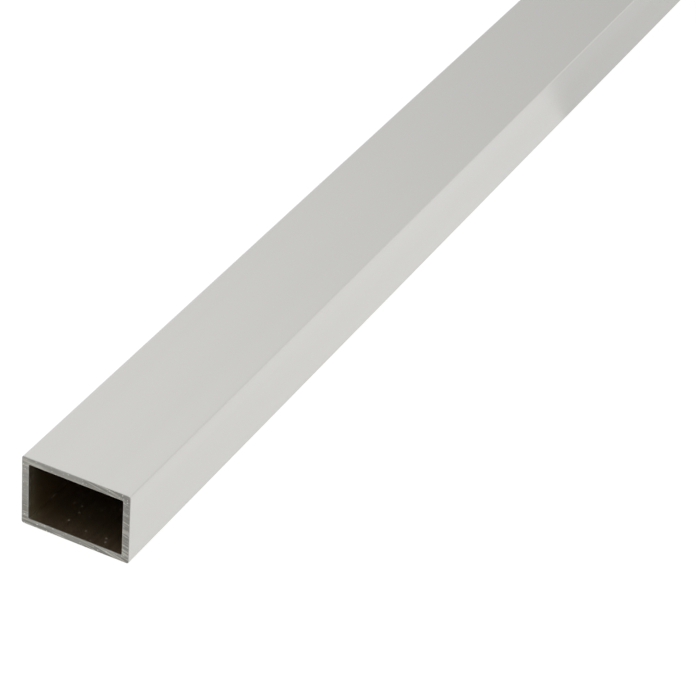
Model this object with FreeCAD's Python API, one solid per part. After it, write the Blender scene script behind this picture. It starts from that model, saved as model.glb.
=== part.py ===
"""Rectangular aluminium tube: one extruded length of stock, sawn square at both ends.

The section is a plain rectangular hollow with the same wall on all four sides. The die
leaves a small radius on the four outside corners and another on the four inside corners.
Taking the burr off after sawing leaves a narrow bevel round the outside of each end and
round its mouth.

Frame, in millimetres: +X along the length, +Y across the wide faces, +Z up. The tube lies
on a wide face, and the origin is the middle of that face.
"""

import FreeCAD
import Part

import math
import os

# Stock size
LENGTH = 1000.0
WIDTH = 30.0
HEIGHT = 20.0
WALL = 2.0

# Corner radii that the die leaves along the whole length
OUTSIDE_CORNER_RADIUS = 0.6
INSIDE_CORNER_RADIUS = 0.3

# Bevels that deburring leaves at the sawn ends
OUTSIDE_BEVEL = 0.1
MOUTH_BEVEL = 0.1

# The hollow follows from the outside and the wall
HOLLOW_WIDTH = WIDTH - 2 * WALL
HOLLOW_HEIGHT = HEIGHT - 2 * WALL

# Height of the section's centre above the face that the tube lies on
AXIS_HEIGHT = HEIGHT / 2

# Two planes nearer than this count as one
SAME_PLANE = 1e-6


def across(angle):
    """Unit vector in the plane of the section, turned by angle degrees from +Y towards +Z."""
    return FreeCAD.Vector(0, math.cos(math.radians(angle)), math.sin(math.radians(angle)))


def rounded_rectangle(width, height, radius, x):
    """Closed wire round the tube's axis in the plane at x, with a quarter arc at each corner."""
    flat_y = width / 2 - radius
    flat_z = height / 2 - radius
    corners = [(flat_y, flat_z), (-flat_y, flat_z), (-flat_y, -flat_z), (flat_y, -flat_z)]
    arcs = []
    for quarter, (y, z) in enumerate(corners):
        centre = FreeCAD.Vector(x, y, AXIS_HEIGHT + z)
        start, middle, end = (centre + across(90 * quarter + turn) * radius for turn in (0, 45, 90))
        arcs.append(Part.Arc(start, middle, end))
    edges = []
    for arc, following in zip(arcs, arcs[1:] + arcs[:1]):
        edges.append(arc.toShape())
        edges.append(Part.makeLine(arc.EndPoint, following.StartPoint))
    return Part.Wire(edges)


def section():
    """The extrusion's section, a ring of metal in the plane of the first end."""
    first_end = -LENGTH / 2
    outline = rounded_rectangle(WIDTH, HEIGHT, OUTSIDE_CORNER_RADIUS, first_end)
    hollow = rounded_rectangle(HOLLOW_WIDTH, HOLLOW_HEIGHT, INSIDE_CORNER_RADIUS, first_end)
    return Part.Face(outline).cut(Part.Face(hollow)).Faces[0]


def sawn_face(tube, x):
    """The flat ring that the saw leaves in the plane at x."""
    return next(
        face
        for face in tube.Faces
        if abs(face.BoundBox.XMin - x) < SAME_PLANE and abs(face.BoundBox.XMax - x) < SAME_PLANE
    )


def bevelled(tube, x):
    """The tube with its outside edge and its mouth's edge bevelled at the end at x."""
    outline = sawn_face(tube, x).OuterWire
    tube = tube.makeChamfer(OUTSIDE_BEVEL, outline.Edges)
    face = sawn_face(tube, x)
    mouth = [wire for wire in face.Wires if not wire.isSame(face.OuterWire)]
    return tube.makeChamfer(MOUTH_BEVEL, mouth[0].Edges)


def rectangular_tube():
    """The whole tube: extruded along +X, then sawn and bevelled at both ends."""
    tube = section().extrude(FreeCAD.Vector(LENGTH, 0, 0))
    for x in (-LENGTH / 2, LENGTH / 2):
        tube = bevelled(tube, x)
    return tube.Solids[0]


def main():
    os.makedirs("parts", exist_ok=True)
    tube = rectangular_tube()
    tube.exportStep("parts/rectangular_tube.step")
    box = tube.BoundBox
    print(f"rectangular_tube: {tube.ShapeType}, {len(tube.Solids)} solid, {len(tube.Faces)} faces")
    print(f"  valid {tube.isValid()}, volume {tube.Volume:.1f} mm3")
    print(f"  {box.XLength:.2f} x {box.YLength:.2f} x {box.ZLength:.2f} mm, lowest {box.ZMin:.3f}")


main()
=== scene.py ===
"""Looks of the rectangular aluminium tube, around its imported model.

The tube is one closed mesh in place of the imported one, with the same sizes and a finer surface:
the die's rounded corners, the bevels that deburring leaves at the sawn ends and the shallow steps
that the saw leaves on them.

Lengths are in metres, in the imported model's frame: +X along the tube, +Y across its wide faces, +Z
up, with the origin in the middle of the face that it lies on. The near end is the one at -X.
"""

import math

import bmesh
import bpy
from mathutils import Matrix, Vector, noise


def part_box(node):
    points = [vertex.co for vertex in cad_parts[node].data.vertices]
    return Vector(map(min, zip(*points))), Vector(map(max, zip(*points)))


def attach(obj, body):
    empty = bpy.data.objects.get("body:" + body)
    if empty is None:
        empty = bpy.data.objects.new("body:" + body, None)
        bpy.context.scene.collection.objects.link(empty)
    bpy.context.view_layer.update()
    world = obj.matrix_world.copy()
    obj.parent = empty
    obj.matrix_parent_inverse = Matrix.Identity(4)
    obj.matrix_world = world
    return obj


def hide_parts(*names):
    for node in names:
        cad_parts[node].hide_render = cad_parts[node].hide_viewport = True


bl_info = {
    "name": "Rectangular Aluminium Tube",
    "version": (1, 0, 0),
    "blender": (4, 5, 0),
    "location": "3D View > Sidebar > Aluminium Tube",
    "description": "Makes a sawn length of rectangular aluminium tube and the studio it lies in",
    "category": "Add Mesh",
}

NODE = "rectangular_tube"
BODY = "root"

MM = 0.001
MICRON = 0.000001

# The two ends, as signs of X
FAR_END, NEAR_END = 1, -1

# The saw: a blade of 250 mm, fed so that its marks fall towards -Y
BLADE_RADIUS = 125 * MM
MARK_SLOPE = math.radians(8)

# Steps that the saw leaves: how far apart they are, and how far they run along the arc
STEP_SPACING = 0.9 * MM
STEP_RUN = 20 * MM

# Bevels cut by hand: how far apart their wanderings are, and how much of the width they take
WANDER_SPACING = 1.6 * MM
WANDER_SHARE = 0.3

# How finely the mesh is divided: the width of a column on the flats, the columns of each rounded
# corner, and the rows across each sawn ring and along the tube
COLUMN = 0.25 * MM
ARC_COLUMNS = 8
RING_ROWS = 9
LONG_ROWS = 8

# Faces that meet at more than this make a sharp edge
SHARP_ANGLE = math.radians(25)

# The two points of each column of the section
OUTSIDE, INSIDE = range(2)

# The tube's materials, in the order of its slots
ANODISED, SAWN, FILED, DEBURRED, HOLLOW = range(5)

# Inputs of a Mix node, which has some for numbers and others for colours, and its mixed colour
SHARE, NUMBER_A, NUMBER_B, COLOUR_A, COLOUR_B = 0, 2, 3, 6, 7
MIXED_COLOUR = 2

# Layout of the flattened skin in a square of side 1: the outside and the hollow are two strips, and
# each end lies flat below them, drawn larger so that its saw marks keep their detail
LAYOUT_NAME = "OFBake"
STRIP_ENDS = (0.01, 0.99)
OUTSIDE_STRIP = (0.61, 0.99)
HOLLOW_STRIP = (0.36, 0.595)
END_CENTRES = ((0.25, 0.175), (0.75, 0.175))
END_SCALE = 0.48 / (30 * MM)

# The floor's reach from the origin, and the soft lamp
FLOOR_REACH = 4
LAMP_PLACE = Vector((-2.2, -0.85, 3.4))
LAMP_AIM = Vector((-0.3, 0, 0))
LAMP_SIDE = 2.4

# The paper's own light, where 1 is white, in what the camera sees of it and in what metal mirrors
PAPER_SEEN = 0.8
PAPER_MIRRORED = 0.74

# How much of the light that falls on it the paper adds to its own, so that the tube's shadow shows
PAPER_SHADE = "7C7C7C"

# Painted shade: a pale grey painted on the paper beside the tube, seen only in reflections. Its
# soft edge lies askew, where X plus the skew times Y is between the two values of the edge. Its grey
# fades out along X between those of the fade, and along Y between those of the reach
PAINTED_SHADE_SKEW = 1.28
PAINTED_SHADE_EDGE = (-268.5 * MM, -259.5 * MM)
PAINTED_SHADE_FADE = (-100 * MM, 350 * MM)
PAINTED_SHADE_REACH = (-50 * MM, -35 * MM)
PAINTED_SHADE_GREY = 0.17

# A fainter painted shade that comes in along X before the painted shade's edge
FAINT_SHADE_START = (-320 * MM, -240 * MM)
FAINT_SHADE_GREY = 0.03

# The room's light, where 1 is white: its level all round, its level where it is dimmest, low down
# past the far end, and the cosine of the angle from there within which it dims
ROOM_LEVEL = 1.01
DIM_LEVEL = 0.56
DIM_TOWARDS = (0.988, 0.035, 0.146)
DIM_EDGE = 0.765

# A cap on the room's light, lower at -Y than at +Y: the Y of the two directions between which it
# rises, and its level at each
CAP_DIRECTIONS = (-0.35, 0.1)
CAP_LEVELS = (0.94, 1.05)

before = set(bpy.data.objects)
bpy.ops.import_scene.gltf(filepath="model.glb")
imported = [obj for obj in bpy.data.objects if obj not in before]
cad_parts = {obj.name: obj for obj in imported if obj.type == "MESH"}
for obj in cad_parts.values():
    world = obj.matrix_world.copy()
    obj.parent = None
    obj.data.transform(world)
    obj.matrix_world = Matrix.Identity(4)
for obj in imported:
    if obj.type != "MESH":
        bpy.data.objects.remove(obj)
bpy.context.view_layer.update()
LOW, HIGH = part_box(NODE)


def linear(hex_colour):
    """Linear red, green, blue and an alpha of 1 from an sRGB colour written as hex digits."""
    parts = [int(hex_colour[i : i + 2], 16) / 255 for i in (0, 2, 4)]
    return [c / 12.92 if c <= 0.04045 else ((c + 0.055) / 1.055) ** 2.4 for c in parts] + [1.0]


def colour_property(name, hex_colour, description):
    """A colour that the user may change, with an sRGB hex default."""
    return bpy.props.FloatVectorProperty(
        name=name,
        description=description,
        default=linear(hex_colour),
        size=4,
        min=0,
        max=1,
        subtype="COLOR",
    )


def length_property(name, metres, description):
    """A length that the user may change."""
    return bpy.props.FloatProperty(
        name=name, description=description, default=metres, min=0, precision=5, unit="LENGTH"
    )


def angle_property(name, degrees, description):
    """An angle that the user may change."""
    return bpy.props.FloatProperty(
        name=name, description=description, default=math.radians(degrees), subtype="ANGLE"
    )


class TubeSizes(bpy.types.PropertyGroup):
    """Sizes of the tube. Its length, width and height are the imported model's."""

    length: length_property("Length", HIGH.x - LOW.x, "From one sawn end to the other")
    width: length_property("Width", HIGH.y - LOW.y, "Across the wide faces")
    height: length_property("Height", HIGH.z - LOW.z, "Across the narrow faces")
    wall: length_property("Wall", 2 * MM, "Thickness of all four walls")
    outside_radius: length_property("Outside radius", 0.6 * MM, "Of the four outside corners")
    inside_radius: length_property("Inside radius", 0.3 * MM, "Of the hollow's four corners")
    outside_bevel: length_property("Outside bevel", 0.1 * MM, "Round each sawn end's outside")
    mouth_bevel: length_property("Mouth bevel", 0.1 * MM, "Round the mouth of the hollow")
    saw_depth: length_property("Saw mark depth", 12 * MICRON, "Of the deepest saw marks")


class TubeFinish(bpy.types.PropertyGroup):
    """Colours of the tube's metal and of the dust in it."""

    anodised: colour_property("Anodised", "D1D0CD", "Clear anodised outside faces")
    streak: colour_property("Anodised streak", "D0CFCB", "Duller streaks along the outside")
    # Partly painted shade: both sawn colours are darker than bare metal, for the shade on the end
    sawn: colour_property("Sawn", "B8B6AF", "Bright crests of the saw marks")
    sawn_dull: colour_property("Sawn, dull", "807E78", "Torn metal between the saw marks")
    rubbed: colour_property("Rubbed", "B8B6AE", "Sawn metal that deburring has rubbed bright")
    # Painted highlight: the glint colour stands for light caught by points of burr
    glint: colour_property("Glint", "D2D1CC", "Points of burr that catch the light")
    filed: colour_property("Filed", "A3A29D", "Bare metal of the bevels round the outside")
    # Painted shade: the bevels round the mouths are darkened so that they show no highlight
    deburred: colour_property("Deburred", "565551", "Bevels round the mouths, dulled by saw dust")
    # Partly painted shade: the hollow's brown is drawn darker than the metal's own, for the shade
    # inside
    hollow: colour_property("Hollow", "A08E70", "Walls of the hollow")
    scuffed: colour_property("Scuffed", "A08B72", "Walls of the hollow scuffed by deburring")
    # Painted light: this colour stands for the light that falls on the wall at +Y near each mouth
    painted_light_wall: colour_property("Scraped", "B3AB92", "Wall of the hollow scraped pale by deburring")
    dust: colour_property("Dust", "958C7E", "Fine dust that the saw leaves in the hollow")


class StudioSettings(bpy.types.PropertyGroup):
    """Camera and light. The camera's values put the tube where the photograph has it."""

    focal_length: bpy.props.FloatProperty(
        name="Focal length",
        description="Of the lens, for a frame 36 mm wide",
        default=148.4,
        min=10,
        unit="CAMERA",
    )
    distance: length_property("Distance", 0.72641, "From the camera to the point that it looks at")
    azimuth: angle_property("Azimuth", 24.858, "Of the camera's view, turned from +X towards +Y")
    elevation: angle_property("Elevation", 34.248, "Of the camera above the point that it looks at")
    roll: angle_property("Roll", 4.844, "Of the camera about its view, anticlockwise")
    target: bpy.props.FloatVectorProperty(
        name="Target",
        description="Point on the tube that the camera looks at",
        default=(-0.41717, -0.02907, 0.02),
        subtype="XYZ",
        unit="LENGTH",
    )
    lamp_power: bpy.props.FloatProperty(
        name="Lamp power", description="Of the soft lamp", default=75, min=0, unit="POWER"
    )
    paper: colour_property("Paper", "F0EFEC", "Pale paper that the tube lies on")


def add(tree, kind, inputs=None, **settings):
    """Add a node with its settings. An input, by name or number, takes a value, node or socket."""
    node = tree.nodes.new(kind)
    for name, value in settings.items():
        setattr(node, name, value)
    for name, value in (inputs or {}).items():
        if isinstance(value, bpy.types.Node):
            value = value.outputs[0]
        if isinstance(value, bpy.types.NodeSocket):
            tree.links.new(value, node.inputs[name])
        else:
            node.inputs[name].default_value = value
    return node


def per(*lengths):
    """Scale of a pattern that repeats about once in each of these lengths, one for each axis.

    What the materials add to a scaled place only chooses the part of the pattern that shows.
    """
    return tuple(1 / length for length in lengths)


def new_material(name):
    """A new material, its node tree and a socket with the place on the object."""
    material = bpy.data.materials.new(name)
    material.use_nodes = True
    tree = material.node_tree
    tree.nodes.clear()
    place = add(tree, "ShaderNodeTexCoord").outputs["Object"]
    return material, tree, place


def anodised_aluminium(finish):
    """Clear anodised aluminium, extruded and etched first.

    The die leaves fine straight lines along the whole length. The etch before anodising turns them
    to a soft satin, so the faces reflect the room without an image and darken only gently.
    """
    material, tree, place = new_material("clear anodised aluminium")
    # Streaks come from the billet and the etch, some millimetres wide and as long as the tube
    along = add(
        tree,
        "ShaderNodeVectorMath",
        {0: place, 1: per(900 * MM, 5.3 * MM, 5.3 * MM), 2: (3.1, 0.37, 0.61)},
        operation="MULTIPLY_ADD",
    )
    streaks = add(tree, "ShaderNodeTexNoise", {"Vector": along, "Scale": 1.0, "Detail": 3.0})
    share = add(
        tree,
        "ShaderNodeMapRange",
        {"Value": streaks, "From Min": 0.35, "From Max": 0.65},
        interpolation_type="SMOOTHSTEP",
    )
    base = add(
        tree,
        "ShaderNodeMix",
        {SHARE: share, COLOUR_A: finish.anodised, COLOUR_B: finish.streak},
        data_type="RGBA",
    ).outputs[MIXED_COLOUR]
    # Die lines are 0.05 to 0.2 mm apart, too fine to show, so they are drawn 0.7 mm apart
    drawn = add(
        tree,
        "ShaderNodeVectorMath",
        {0: place, 1: per(1300 * MM, 0.7 * MM, 0.7 * MM), 2: (0.2, 0.43, 0.29)},
        operation="MULTIPLY_ADD",
    )
    die_lines = add(tree, "ShaderNodeTexNoise", {"Vector": drawn, "Scale": 1.0, "Detail": 2.0})
    lines_bump = add(
        tree, "ShaderNodeBump", {"Height": die_lines, "Strength": 1.0, "Distance": 1.5 * MICRON}
    )
    # Etch pits are about 0.02 mm, so they are drawn 0.3 mm wide
    etch = add(
        tree, "ShaderNodeTexNoise", {"Vector": place, "Scale": 1 / (0.3 * MM), "Detail": 1.0}
    )
    bump = add(
        tree,
        "ShaderNodeBump",
        {"Height": etch, "Strength": 1.0, "Distance": 0.8 * MICRON, "Normal": lines_bump},
    )
    roughness = add(tree, "ShaderNodeMapRange", {"Value": share, "To Min": 0.23, "To Max": 0.26})
    shader = add(
        tree,
        "ShaderNodeBsdfPrincipled",
        {"Base Color": base, "Metallic": 1.0, "Roughness": roughness, "Normal": bump},
    )
    add(tree, "ShaderNodeOutputMaterial", {"Surface": shader})
    return material


def blade_centre(sizes):
    """Centre of the saw blade in the plane of the end, as (Y, Z)."""
    fall = Vector((math.sin(MARK_SLOPE), -math.cos(MARK_SLOPE)))
    return Vector((0, sizes.height / 2)) + BLADE_RADIUS * fall


def sawn_aluminium(finish, sizes):
    """Bare aluminium, sawn with a circular blade.

    Each tooth leaves a shallow arc, and the arcs come in brighter and duller bands. The torn metal
    between them scatters the light, and its colours hold painted shade too, so the end looks greyer
    than the faces.
    """
    material, tree, place = new_material("sawn aluminium")
    centre = blade_centre(sizes)
    arm = add(
        tree,
        "ShaderNodeVectorMath",
        {0: place, 1: (0, 1, 1), 2: (0, -centre.x, -centre.y)},
        operation="MULTIPLY_ADD",
    )
    radius = add(tree, "ShaderNodeVectorMath", {0: arm}, operation="LENGTH").outputs["Value"]
    parts = add(tree, "ShaderNodeSeparateXYZ", {0: place}).outputs
    # Bright scores and bands along the arcs, from half a millimetre to a few millimetres apart
    arc = add(tree, "ShaderNodeCombineXYZ", {0: radius, 1: parts["Y"], 2: parts["X"]})
    banded = add(
        tree,
        "ShaderNodeVectorMath",
        {0: arc, 1: per(0.5 * MM, 9 * MM, 90 * MM), 2: (4.3, 0.7, 0.1)},
        operation="MULTIPLY_ADD",
    )
    bands = add(
        tree,
        "ShaderNodeTexNoise",
        {"Vector": banded, "Scale": 1.0, "Detail": 3.0, "Roughness": 0.55},
    )
    # Painted light: the wall at the bottom is drawn brighter, to make up for the shade that it gets
    painted_lift = add(
        tree,
        "ShaderNodeMapRange",
        {
            "Value": parts["Z"],
            "From Min": 1 * MM,
            "From Max": 3.5 * MM,
            "To Min": 0.06,
            "To Max": 0.0,
        },
        interpolation_type="SMOOTHSTEP",
    )
    bands_and_painted_light = add(tree, "ShaderNodeMath", {0: bands, 1: painted_lift}, operation="ADD")
    share = add(
        tree,
        "ShaderNodeMapRange",
        {"Value": bands_and_painted_light, "From Min": 0.45, "From Max": 0.75},
        interpolation_type="SMOOTHSTEP",
    )
    # The blade chatters in patches about 7 mm apart, and more towards -Y, where its teeth leave
    patched = add(
        tree,
        "ShaderNodeVectorMath",
        {0: place, 1: per(math.inf, 7 * MM, 7 * MM), 2: (0.5, 8.1, 7.9)},
        operation="MULTIPLY_ADD",
    )
    patches = add(tree, "ShaderNodeTexNoise", {"Vector": patched, "Scale": 1.0, "Detail": 0.0})
    leaving = add(
        tree,
        "ShaderNodeMath",
        {0: parts["Y"], 1: -0.006 / MM, 2: patches},
        operation="MULTIPLY_ADD",
    )
    chatter = add(
        tree,
        "ShaderNodeMapRange",
        {"Value": leaving, "From Min": 0.38, "From Max": 0.6, "To Min": 0.35, "To Max": 1.25},
        interpolation_type="SMOOTHSTEP",
    )
    level = add(
        tree,
        "ShaderNodeMix",
        {SHARE: chatter, NUMBER_A: 0.3, NUMBER_B: share},
        data_type="FLOAT",
        clamp_factor=False,
    )
    marks = add(
        tree,
        "ShaderNodeMix",
        {SHARE: level, COLOUR_A: finish.sawn_dull, COLOUR_B: finish.sawn},
        data_type="RGBA",
    ).outputs[MIXED_COLOUR]
    # The deburring tool rubs the metal bright up to 0.7 mm from the mouth
    middle = (0, 0, sizes.height / 2)
    offset = add(tree, "ShaderNodeVectorMath", {0: place, 1: middle}, operation="SUBTRACT")
    aside = add(tree, "ShaderNodeVectorMath", {0: offset}, operation="ABSOLUTE")
    mouth_half = (0, sizes.width / 2 - sizes.wall, sizes.height / 2 - sizes.wall)
    beyond = add(tree, "ShaderNodeVectorMath", {0: aside, 1: mouth_half}, operation="SUBTRACT")
    beyond_parts = add(tree, "ShaderNodeSeparateXYZ", {0: beyond}).outputs
    from_mouth = add(
        tree, "ShaderNodeMath", {0: beyond_parts["Y"], 1: beyond_parts["Z"]}, operation="MAXIMUM"
    )
    rub = add(
        tree,
        "ShaderNodeMapRange",
        {"Value": from_mouth, "From Max": 0.7 * MM, "To Min": 0.4, "To Max": 0.0},
    )
    rubbed = add(
        tree,
        "ShaderNodeMix",
        {SHARE: rub, COLOUR_A: marks, COLOUR_B: finish.rubbed},
        data_type="RGBA",
    ).outputs[MIXED_COLOUR]
    # Painted glints: points of burr about 0.2 mm across take the bright glint colour
    points = add(
        tree, "ShaderNodeTexNoise", {"Vector": place, "Scale": 1 / (0.45 * MM), "Detail": 0.0}
    )
    burr = add(
        tree,
        "ShaderNodeMapRange",
        {"Value": points, "From Min": 0.73, "From Max": 0.79},
        interpolation_type="SMOOTHSTEP",
    )
    base = add(
        tree,
        "ShaderNodeMix",
        {SHARE: burr, COLOUR_A: rubbed, COLOUR_B: finish.glint},
        data_type="RGBA",
    ).outputs[MIXED_COLOUR]
    bands_bump = add(
        tree, "ShaderNodeBump", {"Height": bands, "Strength": chatter, "Distance": 15 * MICRON}
    )
    # Tooth marks are 0.1 mm apart, so they are drawn 0.25 mm apart
    toothed = add(
        tree,
        "ShaderNodeVectorMath",
        {0: arc, 1: per(0.25 * MM, 4 * MM, 90 * MM), 2: (0.9, 0.2, 0.4)},
        operation="MULTIPLY_ADD",
    )
    teeth = add(tree, "ShaderNodeTexNoise", {"Vector": toothed, "Scale": 1.0, "Detail": 2.0})
    bump = add(
        tree,
        "ShaderNodeBump",
        {"Height": teeth, "Strength": 1.0, "Distance": 5 * MICRON, "Normal": bands_bump},
    )
    roughness = add(tree, "ShaderNodeMapRange", {"Value": teeth, "To Min": 0.35, "To Max": 0.6})
    shader = add(
        tree,
        "ShaderNodeBsdfPrincipled",
        {"Base Color": base, "Metallic": 1.0, "Roughness": roughness, "Normal": bump},
    )
    add(tree, "ShaderNodeOutputMaterial", {"Surface": shader})
    return material


def bevelled_aluminium(name, base):
    """Bare aluminium, bevelled by hand.

    A file cuts through the anodised skin round the outside, so the narrow bevels there are as matt
    as the sawn end. The bevels round the mouths are painted dark, as painted shade, so they don't
    shine. The file and the deburring blade both leave small breaks in the edge.
    """
    material, tree, place = new_material(name)
    # The strokes of both tools are about 0.5 mm apart
    strokes = add(
        tree, "ShaderNodeTexNoise", {"Vector": place, "Scale": 1 / (0.5 * MM), "Detail": 2.0}
    )
    bump = add(
        tree, "ShaderNodeBump", {"Height": strokes, "Strength": 1.0, "Distance": 10 * MICRON}
    )
    roughness = add(tree, "ShaderNodeMapRange", {"Value": strokes, "To Min": 0.3, "To Max": 0.5})
    shader = add(
        tree,
        "ShaderNodeBsdfPrincipled",
        {"Base Color": base, "Metallic": 1.0, "Roughness": roughness, "Normal": bump},
    )
    add(tree, "ShaderNodeOutputMaterial", {"Surface": shader})
    return material


def hollow_aluminium(finish, sizes):
    """Extruded aluminium as it leaves the die, inside the hollow.

    The inside of the die is never polished, so its lines are deeper, and light that comes in
    through the mouth dies out within a few bounces. The walls' colour is darker than the metal's
    own, partly as painted shade. Specks of saw dust cling near each mouth.
    """
    material, tree, place = new_material("as extruded aluminium")
    # Lines inside are 0.3 to 0.8 mm apart
    drawn = add(
        tree,
        "ShaderNodeVectorMath",
        {0: place, 1: per(300 * MM, 0.9 * MM, 0.9 * MM), 2: (0.6, 0.17, 0.23)},
        operation="MULTIPLY_ADD",
    )
    die_lines = add(tree, "ShaderNodeTexNoise", {"Vector": drawn, "Scale": 1.0, "Detail": 2.0})
    bump = add(
        tree, "ShaderNodeBump", {"Height": die_lines, "Strength": 1.0, "Distance": 6 * MICRON}
    )
    parts = add(tree, "ShaderNodeSeparateXYZ", {0: place}).outputs
    from_middle = add(tree, "ShaderNodeMath", {0: parts["X"]}, operation="ABSOLUTE")
    # Deburring scuffs the last 7 mm before each mouth, where painted light also lies on the wall at
    # +Y
    half = sizes.length / 2
    scuff_and_painted_light = add(
        tree,
        "ShaderNodeMapRange",
        {"Value": from_middle, "From Min": half - 7 * MM, "From Max": half},
        interpolation_type="SMOOTHSTEP",
    )
    # Painted light: the wall at +Y is drawn paler, up to 2.5 mm round its corners, where light falls
    wall = sizes.width / 2 - sizes.wall
    painted_light_share = add(
        tree,
        "ShaderNodeMapRange",
        {"Value": parts["Y"], "From Min": wall - 2.5 * MM, "From Max": wall - 0.5 * MM},
        interpolation_type="SMOOTHSTEP",
    )
    scuffed_and_painted_light = add(
        tree,
        "ShaderNodeMix",
        {SHARE: painted_light_share, COLOUR_A: finish.scuffed, COLOUR_B: finish.painted_light_wall},
        data_type="RGBA",
    ).outputs[MIXED_COLOUR]
    base = add(
        tree,
        "ShaderNodeMix",
        {SHARE: scuff_and_painted_light, COLOUR_A: finish.hollow, COLOUR_B: scuffed_and_painted_light},
        data_type="RGBA",
    ).outputs[MIXED_COLOUR]
    smooth = add(tree, "ShaderNodeMapRange", {"Value": die_lines, "To Min": 0.31, "To Max": 0.43})
    roughness = add(
        tree, "ShaderNodeMath", {0: scuff_and_painted_light, 1: 0.045, 2: smooth}, operation="MULTIPLY_ADD"
    )
    metal = add(
        tree,
        "ShaderNodeBsdfPrincipled",
        {"Base Color": base, "Metallic": 1.0, "Roughness": roughness, "Normal": bump},
    )
    # Specks are faint and lie within 25 mm of a mouth. They fade out 0.5 mm from their middles,
    # 0.36 of the spacing of the pattern that they are chosen from
    specks = add(tree, "ShaderNodeTexVoronoi", {"Vector": place, "Scale": 1 / (1.3 * MM)})
    chosen = add(tree, "ShaderNodeSeparateColor", {0: specks.outputs["Color"]})
    kept = add(tree, "ShaderNodeMath", {0: chosen, 1: 0.74}, operation="GREATER_THAN")
    near = add(
        tree,
        "ShaderNodeMapRange",
        {
            "Value": specks.outputs["Distance"],
            "From Min": 0.04,
            "From Max": 0.36,
            "To Min": 0.38,
            "To Max": 0.0,
        },
        interpolation_type="SMOOTHSTEP",
    )
    at_mouth = add(
        tree, "ShaderNodeMath", {0: from_middle, 1: half - 25 * MM}, operation="GREATER_THAN"
    )
    speck = add(tree, "ShaderNodeMath", {0: kept, 1: near}, operation="MULTIPLY")
    shown = add(tree, "ShaderNodeMath", {0: speck, 1: at_mouth}, operation="MULTIPLY")
    dust = add(tree, "ShaderNodeBsdfPrincipled", {"Base Color": finish.dust, "Roughness": 0.9})
    mix = add(tree, "ShaderNodeMixShader", {0: shown, 1: metal, 2: dust})
    add(tree, "ShaderNodeOutputMaterial", {"Surface": mix})
    return material


def section_columns(sizes):
    """Columns round the section: (OUTSIDE point, INSIDE point, direction out of the corner)."""
    half = Vector((sizes.width / 2, sizes.height / 2))
    hollow_half = half - Vector((sizes.wall, sizes.wall))
    flats = half - Vector((sizes.outside_radius, sizes.outside_radius))
    hollow_flats = hollow_half - Vector((sizes.inside_radius, sizes.inside_radius))
    signs = ((1, 1), (-1, 1), (-1, -1), (1, -1))
    columns = []
    for quarter, (sy, sz) in enumerate(signs):
        corner = Vector((sy * flats.x, sz * flats.y))
        hollow_corner = Vector((sy * hollow_flats.x, sz * hollow_flats.y))
        for step in range(ARC_COLUMNS + 1):
            turn = math.radians(90) * (quarter + step / ARC_COLUMNS)
            out = Vector((math.cos(turn), math.sin(turn)))
            columns.append(
                (
                    corner + out * sizes.outside_radius,
                    hollow_corner + out * sizes.inside_radius,
                    out,
                )
            )
        ny, nz = signs[(quarter + 1) % 4]
        next_corner = Vector((ny * flats.x, nz * flats.y))
        next_hollow = Vector((ny * hollow_flats.x, nz * hollow_flats.y))
        count = round((next_corner - corner).length / COLUMN)
        outside, inside, out = columns[-1]
        for step in range(1, count):
            share = step / count
            columns.append(
                (
                    outside + (next_corner - corner) * share,
                    inside + (next_hollow - hollow_corner) * share,
                    out,
                )
            )
    return columns


def saw_step(sizes, point, end):
    """Depth of the saw marks at a point (Y, Z) of the end, in metres."""
    arm = Vector((point.x, point.y + sizes.height / 2)) - blade_centre(sizes)
    # The third number only keeps the two ends different
    where = Vector((arm.length / STEP_SPACING, point.x / STEP_RUN, 7.0 * end))
    return sizes.saw_depth * (0.5 + 0.5 * noise.noise(where))


def uneven(point, end, which):
    """A number near 1 that wanders along an edge, OUTSIDE or INSIDE, as hand-cut bevels do."""
    # The third number only keeps the four edges different
    where = Vector((point.x / WANDER_SPACING, point.y / WANDER_SPACING, 11.0 * end + which))
    return 1 + WANDER_SHARE * noise.noise(where)


def tube_rows(sizes):
    """Loops round the tube's skin, each with the material of the faces up to the next loop.

    A loop lists its corners as (X, point of the section). The loops run along the outside to the
    far end, across it, back through the hollow to the near end and across that.
    """
    columns = section_columns(sizes)
    outside_bevel, mouth_bevel = sizes.outside_bevel, sizes.mouth_bevel
    half = sizes.length / 2
    rows = []

    def long_skin(which, end, bevel, material, bevel_material):
        """Loops along the OUTSIDE or the INSIDE up to an end, with a bevel after the last."""
        for step in range(LONG_ROWS + 1):
            share = step / LONG_ROWS
            loop = []
            for column in columns:
                cut_here = bevel * uneven(column[which], end, which)
                cut_there = bevel * uneven(column[which], -end, which)
                start, stop = -end * (half - cut_there), end * (half - cut_here)
                loop.append((start + (stop - start) * share, column[which]))
            rows.append((loop, material if step < LONG_ROWS else bevel_material))

    def sawn_end(end, outwards, bevel_material):
        """Loops across the ring of metal at one end, with a bevel after the last.

        They run from the outside to the mouth, or outwards from the mouth.
        """
        ring = []
        for step in range(RING_ROWS + 1):
            share = step / RING_ROWS
            loop = []
            for outside, hollow, out in columns:
                rim = outside - out * outside_bevel * uneven(outside, end, OUTSIDE)
                mouth = hollow + out * mouth_bevel * uneven(hollow, end, INSIDE)
                point = rim.lerp(mouth, share)
                loop.append((end * (half - saw_step(sizes, point, end)), point))
            ring.append(loop)
        if outwards:
            ring.reverse()
        for step, loop in enumerate(ring):
            rows.append((loop, SAWN if step < RING_ROWS else bevel_material))

    long_skin(OUTSIDE, FAR_END, outside_bevel, ANODISED, FILED)
    sawn_end(FAR_END, False, DEBURRED)
    long_skin(INSIDE, NEAR_END, mouth_bevel, HOLLOW, DEBURRED)
    sawn_end(NEAR_END, True, FILED)
    return rows


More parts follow.
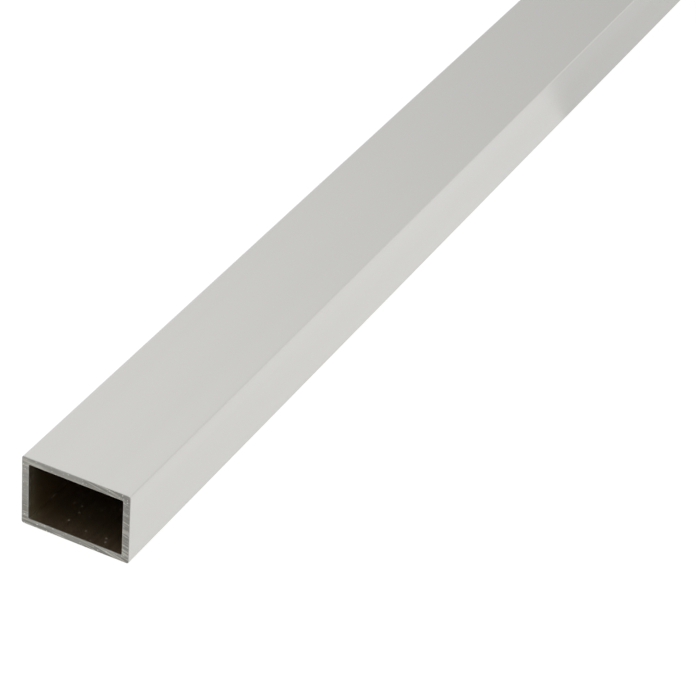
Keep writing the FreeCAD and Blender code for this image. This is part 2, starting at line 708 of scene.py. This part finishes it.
def laid_flat(sizes, material, x, point, around):
    """Place in the layout of a corner at (x, point) that lies this share around the tube."""
    if material in (SAWN, FILED, DEBURRED):
        centre = END_CENTRES[x > 0]
        return centre[0] + point.x * END_SCALE, centre[1] + point.y * END_SCALE
    start, stop = STRIP_ENDS
    low, high = OUTSIDE_STRIP if material == ANODISED else HOLLOW_STRIP
    return start + (x / sizes.length + 0.5) * (stop - start), low + around * (high - low)


def shares_around(sizes):
    """How far round the outside each column stands, from 0 at the first to 1 back there again."""
    points = [column[OUTSIDE] for column in section_columns(sizes)]
    steps = [(b - a).length for a, b in zip(points, points[1:] + points[:1])]
    return [sum(steps[:i]) / sum(steps) for i in range(len(steps) + 1)]


def tube_mesh(sizes):
    """The tube's closed mesh: a grid of loops that joins up round the section and along it."""
    rows = tube_rows(sizes)
    shares = shares_around(sizes)
    mesh = bmesh.new()
    loops = [
        [mesh.verts.new((x, point.x, point.y + sizes.height / 2)) for x, point in loop]
        for loop, _ in rows
    ]
    layout = mesh.loops.layers.uv.new(LAYOUT_NAME)
    for i, (loop, material) in enumerate(rows):
        after = (i + 1) % len(rows)
        next_loop = rows[after][0]
        for j in range(len(loop)):
            k = (j + 1) % len(loop)
            face = mesh.faces.new((loops[i][j], loops[after][j], loops[after][k], loops[i][k]))
            face.material_index = material
            face.smooth = True
            corners = ((loop, j, j), (next_loop, j, j), (next_loop, k, j + 1), (loop, k, j + 1))
            for corner, (row, column, share) in zip(face.loops, corners):
                x, point = row[column]
                corner[layout].uv = laid_flat(sizes, material, x, point, shares[share])
    bmesh.ops.recalc_face_normals(mesh, faces=mesh.faces)
    data = bpy.data.meshes.new("aluminium_tube")
    mesh.to_mesh(data)
    mesh.free()
    data.set_sharp_from_angle(angle=SHARP_ANGLE)
    return data


class ALUMINIUM_OT_tube(bpy.types.Operator):
    """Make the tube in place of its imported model"""

    bl_idname = "aluminium.tube"
    bl_label = "Make the tube"
    bl_options = {"REGISTER", "UNDO"}

    def execute(self, context):
        sizes, finish = context.scene.tube_sizes, context.scene.tube_finish
        if min(sizes.width, sizes.height) / 2 <= sizes.wall + sizes.inside_radius:
            raise ValueError("The wall and the inside radius leave no room for the hollow")
        data = tube_mesh(sizes)
        for material in (
            anodised_aluminium(finish),
            sawn_aluminium(finish, sizes),
            bevelled_aluminium("filed aluminium", finish.filed),
            bevelled_aluminium("deburred aluminium", finish.deburred),
            hollow_aluminium(finish, sizes),
        ):
            data.materials.append(material)
        tube = bpy.data.objects.new("aluminium_tube", data)
        context.scene.collection.objects.link(tube)
        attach(tube, BODY)
        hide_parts(NODE)
        return {"FINISHED"}


def paper_material(studio):
    """Matt white paper, with painted shade beside the tube that only reflections show.

    The camera sees plain white with a faint shadow where the tube lies. Metal mirrors that white
    too, and the narrow face at -Y mirrors the edge of the painted shade, a painted reflection.
    """
    material, tree, place = new_material("matt white paper")
    ray = add(tree, "ShaderNodeLightPath").outputs
    parts = add(tree, "ShaderNodeSeparateXYZ", {0: place}).outputs
    # The painted shade's soft edge meets the tube 255 mm from the near end
    askew = add(
        tree,
        "ShaderNodeMath",
        {0: parts["Y"], 1: PAINTED_SHADE_SKEW, 2: parts["X"]},
        operation="MULTIPLY_ADD",
    )
    in_painted_shade = add(
        tree,
        "ShaderNodeMapRange",
        {"Value": askew, "From Min": PAINTED_SHADE_EDGE[0], "From Max": PAINTED_SHADE_EDGE[1]},
        interpolation_type="SMOOTHSTEP",
    )
    faded = add(
        tree,
        "ShaderNodeMapRange",
        {
            "Value": parts["X"],
            "From Min": PAINTED_SHADE_FADE[0],
            "From Max": PAINTED_SHADE_FADE[1],
            "To Min": PAINTED_SHADE_GREY,
            "To Max": 0.0,
        },
        interpolation_type="SMOOTHSTEP",
    )
    # It reaches about 40 mm from the tube's middle line, with a soft edge
    beside = add(
        tree,
        "ShaderNodeMapRange",
        {"Value": parts["Y"], "From Min": PAINTED_SHADE_REACH[0], "From Max": PAINTED_SHADE_REACH[1]},
        interpolation_type="SMOOTHSTEP",
    )
    this_side = add(tree, "ShaderNodeMath", {0: parts["Y"], 1: 0.0}, operation="LESS_THAN")
    strip = add(tree, "ShaderNodeMath", {0: beside, 1: this_side}, operation="MULTIPLY")
    faint_painted_shade = add(
        tree,
        "ShaderNodeMapRange",
        {
            "Value": parts["X"],
            "From Min": FAINT_SHADE_START[0],
            "From Max": FAINT_SHADE_START[1],
            "To Min": 0.0,
            "To Max": FAINT_SHADE_GREY,
        },
    )
    # Painted shade, in reflections only: the grey that the paper's mirrored light loses
    painted_shade = add(tree, "ShaderNodeMath", {0: in_painted_shade, 1: faded, 2: faint_painted_shade}, operation="MULTIPLY_ADD")
    grey = add(tree, "ShaderNodeMath", {0: painted_shade, 1: strip}, operation="MULTIPLY")
    mirrored = add(tree, "ShaderNodeMath", {0: PAPER_MIRRORED, 1: grey}, operation="SUBTRACT")
    strength = add(
        tree,
        "ShaderNodeMix",
        {SHARE: ray["Is Camera Ray"], NUMBER_A: mirrored, NUMBER_B: PAPER_SEEN},
        data_type="FLOAT",
    )
    paper = add(tree, "ShaderNodeBsdfDiffuse", {"Color": studio.paper})
    shaded = add(tree, "ShaderNodeBsdfDiffuse", {"Color": linear(PAPER_SHADE)})
    white = add(tree, "ShaderNodeEmission", {"Color": linear("FFFFFF"), "Strength": strength})
    background = add(tree, "ShaderNodeAddShader", {0: shaded, 1: white})
    seen = add(
        tree,
        "ShaderNodeMath",
        {0: ray["Is Camera Ray"], 1: ray["Is Glossy Ray"]},
        operation="MAXIMUM",
    )
    shown = add(
        tree, "ShaderNodeMath", {0: seen, 1: ray["Is Transmission Ray"]}, operation="MAXIMUM"
    )
    mix = add(tree, "ShaderNodeMixShader", {0: shown, 1: paper, 2: background})
    add(tree, "ShaderNodeOutputMaterial", {"Surface": mix})
    return material


def studio_world():
    """Soft white light all round, dimmer past the far end. To the camera it is plain white."""
    world = bpy.data.worlds.new("studio")
    world.use_nodes = True
    tree = world.node_tree
    tree.nodes.clear()
    white = linear("FFFFFF")
    direction = add(tree, "ShaderNodeTexCoord").outputs["Generated"]
    # The top face mirrors what is past the far end, so it darkens along its length
    towards = add(
        tree, "ShaderNodeVectorMath", {0: direction, 1: DIM_TOWARDS}, operation="DOT_PRODUCT"
    ).outputs["Value"]
    past_end = add(
        tree,
        "ShaderNodeMapRange",
        {
            "Value": towards,
            "From Min": DIM_EDGE,
            "From Max": 1.0,
            "To Min": ROOM_LEVEL,
            "To Max": DIM_LEVEL,
        },
        interpolation_type="SMOOTHSTEP",
    )
    # The room is a little dimmer at -Y than at +Y
    sideways = add(tree, "ShaderNodeSeparateXYZ", {0: direction}).outputs["Y"]
    side_wall = add(
        tree,
        "ShaderNodeMapRange",
        {
            "Value": sideways,
            "From Min": CAP_DIRECTIONS[0],
            "From Max": CAP_DIRECTIONS[1],
            "To Min": CAP_LEVELS[0],
            "To Max": CAP_LEVELS[1],
        },
    )
    level = add(tree, "ShaderNodeMath", {0: past_end, 1: side_wall}, operation="MINIMUM")
    soft = add(tree, "ShaderNodeBackground", {"Color": white, "Strength": level})
    plain = add(tree, "ShaderNodeBackground", {"Color": white, "Strength": 1.0})
    ray = add(tree, "ShaderNodeLightPath").outputs["Is Camera Ray"]
    mix = add(tree, "ShaderNodeMixShader", {0: ray, 1: soft, 2: plain})
    add(tree, "ShaderNodeOutputWorld", {"Surface": mix})
    return world


def make_camera(context, studio):
    """The camera at the photograph's angle, for a frame 36 mm wide."""
    data = bpy.data.cameras.new("camera")
    data.lens = studio.focal_length
    data.sensor_width = 36
    data.clip_start = 10 * MM
    camera = bpy.data.objects.new("camera", data)
    context.scene.collection.objects.link(camera)
    level = math.cos(studio.elevation)
    view = Vector(
        (
            math.cos(studio.azimuth) * level,
            math.sin(studio.azimuth) * level,
            -math.sin(studio.elevation),
        )
    )
    turn = view.to_track_quat("-Z", "Y").to_matrix() @ Matrix.Rotation(studio.roll, 3, "Z")
    camera.matrix_world = Matrix.Translation(
        Vector(studio.target) - view * studio.distance
    ) @ turn.to_4x4()
    context.scene.camera = camera


def make_lamp(context, studio):
    """A soft square lamp above the near end, turned towards the tube."""
    data = bpy.data.lights.new("soft lamp", "AREA")
    data.shape = "SQUARE"
    data.size = LAMP_SIDE
    data.energy = studio.lamp_power
    lamp = bpy.data.objects.new("soft lamp", data)
    context.scene.collection.objects.link(lamp)
    lamp.location = LAMP_PLACE
    lamp.rotation_euler = (LAMP_AIM - LAMP_PLACE).to_track_quat("-Z", "Y").to_euler()


class ALUMINIUM_OT_studio(bpy.types.Operator):
    """Make the floor, the light and the camera"""

    bl_idname = "aluminium.studio"
    bl_label = "Make the studio"
    bl_options = {"REGISTER", "UNDO"}

    def execute(self, context):
        scene, studio = context.scene, context.scene.studio_settings
        scene.view_settings.view_transform = "Standard"
        scene.world = studio_world()
        mesh = bmesh.new()
        bmesh.ops.create_grid(mesh, x_segments=1, y_segments=1, size=FLOOR_REACH)
        data = bpy.data.meshes.new("floor")
        mesh.to_mesh(data)
        mesh.free()
        data.materials.append(paper_material(studio))
        floor = bpy.data.objects.new("floor", data)
        scene.collection.objects.link(floor)
        make_lamp(context, studio)
        make_camera(context, studio)
        return {"FINISHED"}


class ALUMINIUM_PT_panel(bpy.types.Panel):
    """Sizes and colours of the tube, with the operators that make it"""

    bl_idname = "ALUMINIUM_PT_panel"
    bl_label = "Aluminium Tube"
    bl_space_type = "VIEW_3D"
    bl_region_type = "UI"
    bl_category = "Aluminium Tube"

    def draw(self, context):
        layout, scene = self.layout, context.scene
        for group in (scene.tube_sizes, scene.tube_finish, scene.studio_settings):
            for name in group.__annotations__:
                layout.prop(group, name)
        for operator in (ALUMINIUM_OT_tube, ALUMINIUM_OT_studio):
            layout.operator(operator.bl_idname)


CLASSES = (
    TubeSizes,
    TubeFinish,
    StudioSettings,
    ALUMINIUM_OT_tube,
    ALUMINIUM_OT_studio,
    ALUMINIUM_PT_panel,
)


def register():
    """Register the classes, and give every scene the tube's sizes, its finish and the studio."""
    for cls in CLASSES:
        bpy.utils.register_class(cls)
    bpy.types.Scene.tube_sizes = bpy.props.PointerProperty(type=TubeSizes)
    bpy.types.Scene.tube_finish = bpy.props.PointerProperty(type=TubeFinish)
    bpy.types.Scene.studio_settings = bpy.props.PointerProperty(type=StudioSettings)


def unregister():
    """Take back what register gives."""
    del bpy.types.Scene.studio_settings
    del bpy.types.Scene.tube_finish
    del bpy.types.Scene.tube_sizes
    for cls in reversed(CLASSES):
        bpy.utils.unregister_class(cls)


def main():
    register()
    bpy.ops.aluminium.tube()
    bpy.ops.aluminium.studio()


if __name__ == "__main__":
    main()
